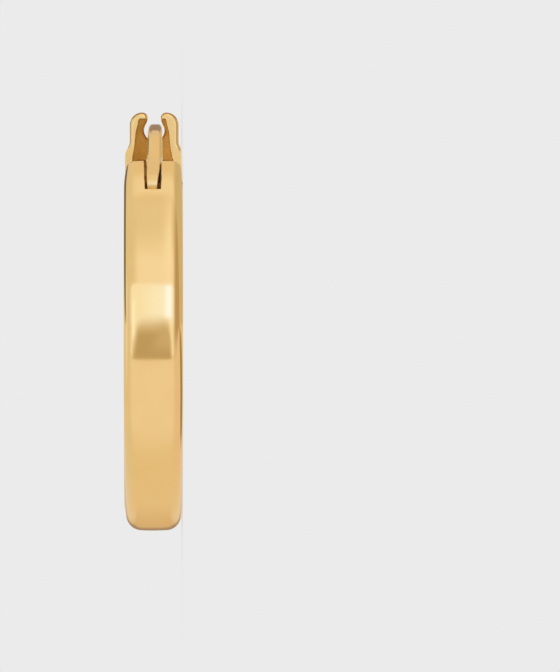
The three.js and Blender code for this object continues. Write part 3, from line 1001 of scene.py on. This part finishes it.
def from_centre(tree, centre_at):
    """X, Y and Z in millimetres from a place."""
    return add_node(tree, "ShaderNodeSeparateXYZ", {0: millimetres(tree, centre_at)})


def axis_distance(tree, centre_at):
    """Millimetres from an upright axis."""
    place = from_centre(tree, centre_at)
    squares = [calculate("POWER", place[axis], 2) for axis in ("X", "Y")]
    return calculate("SQRT", add(*squares))


def round_axis(tree, centre_at, fine):
    """Coordinates for lines that run round an upright axis: radius and height alone."""
    return add_node(tree, "ShaderNodeCombineXYZ", {
        "X": multiply(axis_distance(tree, centre_at), fine),
        "Y": multiply(from_centre(tree, centre_at)["Z"], fine)})[0]


GOLD = {"Colour": (0.955, 0.726, 0.364, 1), "Worn Colour": (0.945, 0.71, 0.352, 1)}
HOOP_AT = (CENTRE_X, 0, MIDDLE)
PIN_PLACE = (CENTRE_X + pin_x, pin_y, MIDDLE)

polished_gold, tree = new_metal("polished_gold")
finish_metal(tree, polish, {
    **GOLD, "Lines Place": round_axis(tree, HOOP_AT, fine=14),
    "Roughness": 0.06, "Haze": 0.02, "Lines": 0.4, "Waviness": 0.0012})

wire_gold, tree = new_metal("drawn_wire_gold")
filed_to_polished = ramp(axis_distance(tree, PIN_PLACE), 1.0, 1.7, at_low=0.3, at_high=0.07)
finish_metal(tree, polish, {
    **GOLD, "Lines Place": millimetres(tree, stretch=(12, 0.7, 12)),
    "Roughness": filed_to_polished, "Haze": 0.03, "Lines": 0.5, "Waviness": 0.001})

filed_gold, tree = new_metal("filed_gold")
finish_metal(tree, polish, {
    "Colour": (0.94, 0.69, 0.30, 1), "Worn Colour": (0.92, 0.66, 0.28, 1),
    "Lines Place": millimetres(tree, stretch=(1.5, 1, 14)),
    "Roughness": 0.2, "Haze": 0.06, "Lines": 0.8, "Waviness": 0.001})

burnished_gold, tree = new_metal("burnished_pin_gold")
finish_metal(tree, polish, {
    "Colour": (0.91, 0.68, 0.34, 1), "Worn Colour": (0.84, 0.60, 0.28, 1),
    "Lines Place": round_axis(tree, PIN_PLACE, fine=22),
    "Roughness": 0.16, "Haze": 0.1, "Lines": 0.8, "Waviness": 0.001})

# Rough, grained cast skin. Its deep brown colour is partly painted shade, standing in for the shade
# and dark reflections in the dish and on the ears' tops. It gets deeper towards +Z.
cast_gold_and_painted_shade, tree = new_metal("cast_gold_and_painted_shade")
deepest_above = ramp(
    from_centre(tree, HOOP_AT)["Z"], -1.4, 1.4, at_low=0.1, at_high=0.75, easing="LINEAR")
finish_metal(tree, skin, {
    "Colour": (0.66, 0.33, 0.07, 1), "Deep Colour": (0.40, 0.19, 0.03, 1),
    "Deep Share": deepest_above, "Roughness": 0.3, "Grain": 0.0015})

tarnished_gold, tree = new_metal("tarnished_gold", metallic=0.5)  # the rest is oxide
deepest_at_pin = ramp(
    axis_distance(tree, PIN_PLACE), 0.4, 1.8, at_low=0.8, at_high=-0.1, easing="LINEAR")
finish_metal(tree, skin, {
    "Colour": (0.50, 0.27, 0.06, 1), "Deep Colour": (0.28, 0.12, 0.01, 1),
    "Deep Share": deepest_at_pin, "Roughness": 0.5, "Grain": 0.003})

FINISHES = (
    (band, (polished_gold, cast_gold_and_painted_shade, tarnished_gold, filed_gold)),
    (post, (wire_gold, tarnished_gold)),
    (pin, (burnished_gold, tarnished_gold)),
)
for piece, finishes in FINISHES:
    piece.data.materials.clear()
    for finish in finishes:
        piece.data.materials.append(finish)
    print(piece.name, "has", [finish.name for finish in finishes])

# %% [markdown]
# The channel, the dish and the tops of the ears keep the rough skin of the casting, because no
# wheel reaches them. Its deep brown colour is partly painted shade: in the dish and on the ears'
# tops it stands in for the shade and dark reflections there. The front of the catch's plate was
# filed. Inside the hinge, the slot's walls, the pin and its holes are tarnished. A strip of the
# keyhole's wall on one side gets the same dark finish as a painted dark reflection. Each rule
# tells such faces by their normal and by the place of their middle.

# %% Give the hollows and the hinge their own finish
def local(place):
    """A place on a finished piece, back in millimetres from the hoop's centre."""
    return Vector((place.x / MM - CENTRE_X, place.y / MM, place.z / MM))


def finish_faces(piece, finish, rule):
    """Give a piece's faces a finish where rule(normal, middle) is true."""
    edit(piece)
    count = pick("faces", lambda face: rule(face.normal, local(centre(face))))
    piece.active_material_index = piece.data.materials.find(finish.name)
    bpy.ops.object.material_slot_assign()
    done()
    print(piece.name, "has", count, "faces of", finish.name)


def pin_distance(middle):
    return sqrt((middle.x - pin_x) ** 2 + (middle.y - pin_y) ** 2)


def from_keyhole(middle):
    """How far up, and how far across, from the centre of the keyhole."""
    return middle.x - KEYHOLE["at"], middle.z - MIDDLE - CLASP_SHIFT


def dish_half_width(height):
    """Half of the dish's width at a height, from the line through its named points."""
    sides = sorted({**DISH_SIDE, DISH_TOP["corner"]: DISH_TOP["half"]}.items())
    for (low, half_low), (high, half_high) in zip(sides, sides[1:]):
        if height < high:
            return blend(half_low, half_high, (height - low) / (high - low))
    return DISH_TOP["half"]


# The dish gets the cast finish. Its dark brown there is partly painted shade for the recess.
def in_dish(normal, middle):
    if near(middle.y, CATCH_FRONT + DISH_DEPTH, 0.002) and normal.y < -0.9:
        return True  # the dish's floor
    up, across = from_keyhole(middle)
    in_keyhole = sqrt(up**2 + across**2) < KEYHOLE["radius"] + DISH_LIP / 2
    in_mouth = up > 0 and abs(across) < KEYHOLE["mouth_half"] + DISH_LIP / 2
    in_height = min(DISH_SIDE) - 0.05 < middle.x < DISH_TOP["at"] + 0.001
    in_depth = CATCH_FRONT + 2 * SEAM < middle.y < CATCH_FRONT + DISH_DEPTH + 0.002
    in_width = abs(across - DISH_SHIFT) < dish_half_width(middle.x) + 0.02
    return in_height and in_depth and in_width and not in_keyhole and not in_mouth


def in_channel(middle):
    at = degrees_of(middle)
    in_depth = INNER + 0.03 < radius_of(middle) < FLOOR + 0.02 and middle.y < CATCH_FRONT + 2
    in_width = abs(middle.z - MIDDLE) < MIDDLE - RIM + 0.01
    return in_depth and in_width and (at > CHANNEL_START - 0.1 or at < 0)


# The ears' tops get the cast finish as painted shade: a dark reflection line along their tops.
def on_ear_top(normal, middle):
    across = abs(from_keyhole(middle)[1])
    on_ear = middle.x > CATCH_TOP - EAR_CORNER["down"] / 2 and across > KEYHOLE["mouth_half"] + 0.1
    return on_ear and CATCH_FRONT < middle.y < PLATE_BACK and normal.x > 0.4 and normal.y > -0.72


# Cast skin in the channel, and painted shade in the dish and on the ears' tops.
def cast_or_painted_shade(normal, middle):
    return in_dish(normal, middle) or in_channel(middle) or on_ear_top(normal, middle)


def on_filed_front(normal, middle):
    on_level = CATCH_FRONT - SEAM < middle.y < CATCH_FRONT + 2 * SEAM
    return on_level and normal.y < -0.99 and middle.x > INNER - CATCH_FRONT


def in_hinge(normal, middle):
    broken = SLOT_ROUND + 0.01
    in_width = abs(middle.z - MIDDLE) < SLOT_HALF + broken
    in_depth = INNER + broken < radius_of(middle) < OUTER - 0.1
    in_slot = in_width and in_depth and 0 < degrees_of(middle) < slot_end + 0.1
    in_pin_hole = pin_distance(middle) < PIN_HOLE + 0.01 and abs(normal.z) < 0.5
    return in_slot and abs(normal.z) > 0.5 or in_pin_hole


def painted_shade_in_keyhole(normal, middle):
    """A strip low on the keyhole's wall, on one side: a painted dark reflection line."""
    up, across = from_keyhole(middle)
    on_wall = abs(sqrt(up**2 + across**2) - KEYHOLE["radius"]) < 0.03 and abs(normal.y) < 0.5
    return on_wall and across > 0 and up < 0 and CATCH_FRONT < middle.y < PLATE_BACK


def on_tongue_side(normal, middle):
    """On the post's two flat sides by the slot's walls, or in its pin hole."""
    on_side = abs(normal.z) > 0.75 and pin_distance(middle) < SIDES["to"]
    return on_side or pin_distance(middle) < PIN_HOLE + 0.01


finish_faces(band, filed_gold, on_filed_front)
finish_faces(band, cast_gold_and_painted_shade, cast_or_painted_shade)
# The hinge's tarnish, and a painted dark reflection line on the keyhole's wall.
finish_faces(band, tarnished_gold,
             lambda normal, middle: in_hinge(normal, middle) or painted_shade_in_keyhole(normal, middle))
finish_faces(post, tarnished_gold, on_tongue_side)
finish_faces(pin, tarnished_gold, lambda normal, middle: abs(middle.z - MIDDLE) < SLOT_MOUTH)

# %% [markdown]
# ## The studio
#
# A polished hoop shows its surroundings rather than itself, so the surroundings are drawn with
# care, like a small studio for jewellery: a pale room, a bright softbox in front, a paler table
# below it, a dark gap behind the camera. Each panel is a patch of the sky, told by how far it is
# above the hoop's front (its rise) and how far to the side.

# %% Camera
CAMERA_DISTANCE = 390
AIM = {"up": -0.815, "side": -9.18}  # mm at the hoop, from its centre
camera_data = bpy.data.cameras.new("camera")
camera = bpy.data.objects.new("camera", camera_data)
bpy.context.scene.collection.objects.link(camera)
bpy.context.scene.camera = camera
camera_data.sensor_width = 36
camera_data.sensor_fit = "HORIZONTAL"
camera_data.lens = 346  # a long lens, as for small jewellery
camera_data.clip_start = 0.01
eye = Vector((CENTRE_X, -CAMERA_DISTANCE, MIDDLE)) * MM
aim = Vector((CENTRE_X + AIM["up"], 0, MIDDLE + AIM["side"])) * MM
# The hoop lies on its side, so +X is up in the camera's picture
backward = (eye - aim).normalized()
right = Vector((1, 0, 0)).cross(backward).normalized()
upward = backward.cross(right)
turned = Matrix((right, upward, backward)).transposed()
camera.matrix_world = Matrix.Translation(eye) @ turned.to_4x4()
print("camera at", [round(v / MM, 1) for v in eye], "looks along", [round(-v, 3) for v in backward])

# %% [markdown]
# ### A soft-edged panel
#
# A direction is told by two angles. Its rise is the turn round the hoop's axis from straight
# ahead towards the clasp, and its side is the lift out of the hoop's plane. One panel is made of
# four soft steps, so a node group holds the steps, and each panel gives its edges. A tapered
# panel gets narrower, or wider, towards its top.

# %% A node group for one panel
PANEL_EDGES = ("Low", "High", "Low Soft", "High Soft", "Right", "Left", "Side Soft", "Taper")
panel_group, given, end = new_group(
    "soft_panel", {name: "Float" for name in ("Rise", "Side", *PANEL_EDGES)}, {"Factor": "Float"})


def soft_step(value, edge, softness):
    """0 before the edge, 1 after it."""
    half = multiply(softness, 0.5)
    return ramp(value, subtract(edge, half), add(edge, half))


inset = multiply(given["Taper"], subtract(given["Rise"], given["Low"]))
above_low = soft_step(given["Rise"], given["Low"], given["Low Soft"])
above_high = soft_step(given["Rise"], given["High"], given["High Soft"])
past_right = soft_step(given["Side"], add(given["Right"], inset), given["Side Soft"])
past_left = soft_step(given["Side"], subtract(given["Left"], inset), given["Side Soft"])
in_rise, in_side = subtract(above_low, above_high), subtract(past_right, past_left)
set_inputs(end, {"Factor": multiply(in_rise, in_side)})
print("panel group:", len(panel_group.nodes), "nodes")

# %% [markdown]
# ### The panels
#
# Each panel has its lower and upper edge in degrees of rise, how soft each of the two is, its
# right and left edge in degrees to the side, and how soft those are. What a panel doesn't name,
# it has from the whole sky. Later panels cover earlier ones. Colours are as bright as the
# metal's own colour is to show them: 1 gives the metal its base colour.

# %% Hang the panels round the hoop
ROOM = (0.82, 0.69, 0.52)
WHOLE_SKY = {"rise": (-200, 200), "soft": (1, 1), "side": (-150, 150), "side_soft": 1, "taper": 0}
PANELS = {
    "table": {"rise": (-70, -19.5), "soft": (30, 0.8), "colour": (0.89, 0.795, 0.68)},
    "softbox_foot": {"rise": (-18, 4), "soft": (4, 5), "colour": (0.985, 0.92, 0.87)},
    "upper_wall": {"rise": (44, 74), "soft": (10, 10), "colour": (0.825, 0.74, 0.62)},
    "reflector": {"rise": (22, 46), "soft": (1, 24), "colour": (0.96, 0.90, 0.84)},
    "softbox": {"rise": (2, 22.5), "soft": (8, 2.5), "colour": (1.02, 1.11, 1.29)},
    "softbox_left": {"rise": (2, 22.5), "soft": (8, 2.5), "side": (2, 30), "side_soft": 12,
                     "colour": (1.005, 1.015, 1.02)},
    "ceiling_strip": {"rise": (77, 92), "soft": (10, 12), "colour": (0.925, 0.845, 0.74)},
    "right_reflector": {"rise": (22, 66), "soft": (1, 50), "side": (-11, -5), "side_soft": 5,
                        "colour": (1.0, 0.95, 0.9)},
    "left_shade": {"rise": (23, 112), "soft": (1, 20), "side": (10, 40), "side_soft": 8,
                   "colour": (0.80, 0.72, 0.57)},
    "dim_behind_above": {"rise": (116, 131), "soft": (8, 3), "colour": (0.74, 0.64, 0.58)},
    "dim_behind_below": {"rise": (-176, -137), "soft": (8, 44), "side": (-13, 13),
                         "side_soft": 12, "colour": (0.70, 0.51, 0.28)},
    "left_wall": {"side": (33, 150), "side_soft": 50, "colour": (0.775, 0.71, 0.595)},
    "left_light": {"side": (75, 150), "side_soft": 10, "colour": (0.85, 0.82, 0.8)},
    "right_wall_below": {"rise": (-200, -16), "soft": (1, 26), "side": (-150, -33),
                         "side_soft": 40, "colour": (0.83, 0.68, 0.55)},
    "right_wall_above": {"rise": (-16, 200), "soft": (26, 1), "side": (-150, -33),
                         "side_soft": 40, "colour": (0.53, 0.39, 0.235)},
    "right_wall_top": {"rise": (82, 200), "soft": (16, 1), "side": (-150, -33),
                       "side_soft": 40, "colour": (0.64, 0.57, 0.41)},
    "left_strip": {"rise": (-8, 14), "soft": (6, 8), "side": (11, 17), "side_soft": 3,
                   "colour": (1.05, 1.12, 1.19)},
    "dark_patch": {"rise": (-19, 0), "soft": (1, 14), "side": (-13, 14), "side_soft": 7,
                   "taper": 0.28, "colour": (0.54, 0.44, 0.285)},
    "patch_glow": {"rise": (-13, 0), "soft": (10, 14), "side": (-11.3, 0), "side_soft": 7,
                   "taper": 0.28, "colour": (0.63, 0.53, 0.385)},
    "bright_strip": {"rise": (4, 22), "soft": (4, 3), "side": (-12, -5.7), "side_soft": 2,
                     "colour": (1.1, 1.3, 2.0)},
    "dark_behind_above": {"rise": (131, 168), "soft": (3, 6), "side": (-22, 22),
                          "side_soft": 10, "colour": (0.35, 0.275, 0.265)},
    "dark_behind_below": {"rise": (-176, -160), "soft": (8, 10), "side": (-10, 10),
                          "side_soft": 6, "colour": (0.40, 0.27, 0.17)},
    "dark_left_behind": {"rise": (143, 176), "soft": (8, 8), "side": (37, 66), "side_soft": 8,
                         "taper": -0.7, "colour": (0.21, 0.17, 0.125)},
    "dark_right_below": {"rise": (-175, -146), "soft": (9, 8), "side": (-150, -30.3),
                         "side_soft": 6, "taper": 0.81, "colour": (0.36, 0.275, 0.13)},
}

world = bpy.data.worlds.new("studio")
bpy.context.scene.world = world
world.use_nodes = True
world.cycles.sampling_method = "NONE"  # an even sky needs no search for its bright places
sky = world.node_tree
generated = add_node(sky, "ShaderNodeTexCoord", {})["Generated"]
direction = add_node(sky, "ShaderNodeSeparateXYZ", {0: generated})
ahead = multiply(direction["Y"], -1)
rise = calculate("DEGREES", calculate("ARCTAN2", direction["X"], ahead))
side = calculate("DEGREES", calculate("ARCSINE", direction["Z"]))

colour = (*ROOM, 1)
for panel in PANELS.values():
    whole = {**WHOLE_SKY, **panel}
    edges = (*whole["rise"], *whole["soft"], *whole["side"], whole["side_soft"], whole["taper"])
    patch = place_group(sky, panel_group, {
        "Rise": rise, "Side": side, **dict(zip(PANEL_EDGES, edges))})
    colour = mix_colours(patch["Factor"], colour, (*panel["colour"], 1))
print("sky:", len(PANELS), "panels")

# %% [markdown]
# The panels are for reflections alone. The floor gets an even white light, so that it stays
# plain, and the camera sees a plain pale backdrop.

# %% Light for the floor, and the backdrop
PALE = 0.831
FLOOR_SIZE = 6  # metres
FLOOR_GLOW = 0.45  # so much of the floor's light doesn't depend on shadows
ray = add_node(sky, "ShaderNodeLightPath", {})
colour = mix_colours(ray["Is Diffuse Ray"], colour, (1, 1, 1, 1))
colour = mix_colours(ray["Is Camera Ray"], colour, (PALE, PALE, PALE, 1))
set_inputs(sky.nodes["Background"], {"Color": colour})
bpy.context.scene.view_settings.view_transform = "Standard"

bpy.ops.object.select_all(action="DESELECT")
bpy.ops.mesh.primitive_plane_add(size=FLOOR_SIZE)
floor = bpy.context.object
floor.name = "floor"
floor.visible_glossy = False
floor_material = bpy.data.materials.new("pale_floor")
floor_material.use_nodes = True
set_inputs(floor_material.node_tree.nodes["Principled BSDF"], {
    "Base Color": [PALE - FLOOR_GLOW] * 3 + [1], "Roughness": 1, "Specular IOR Level": 0,
    "Emission Color": [FLOOR_GLOW] * 3 + [1], "Emission Strength": 1})
floor.data.materials.append(floor_material)
print("floor:", FLOOR_SIZE, "metres wide")
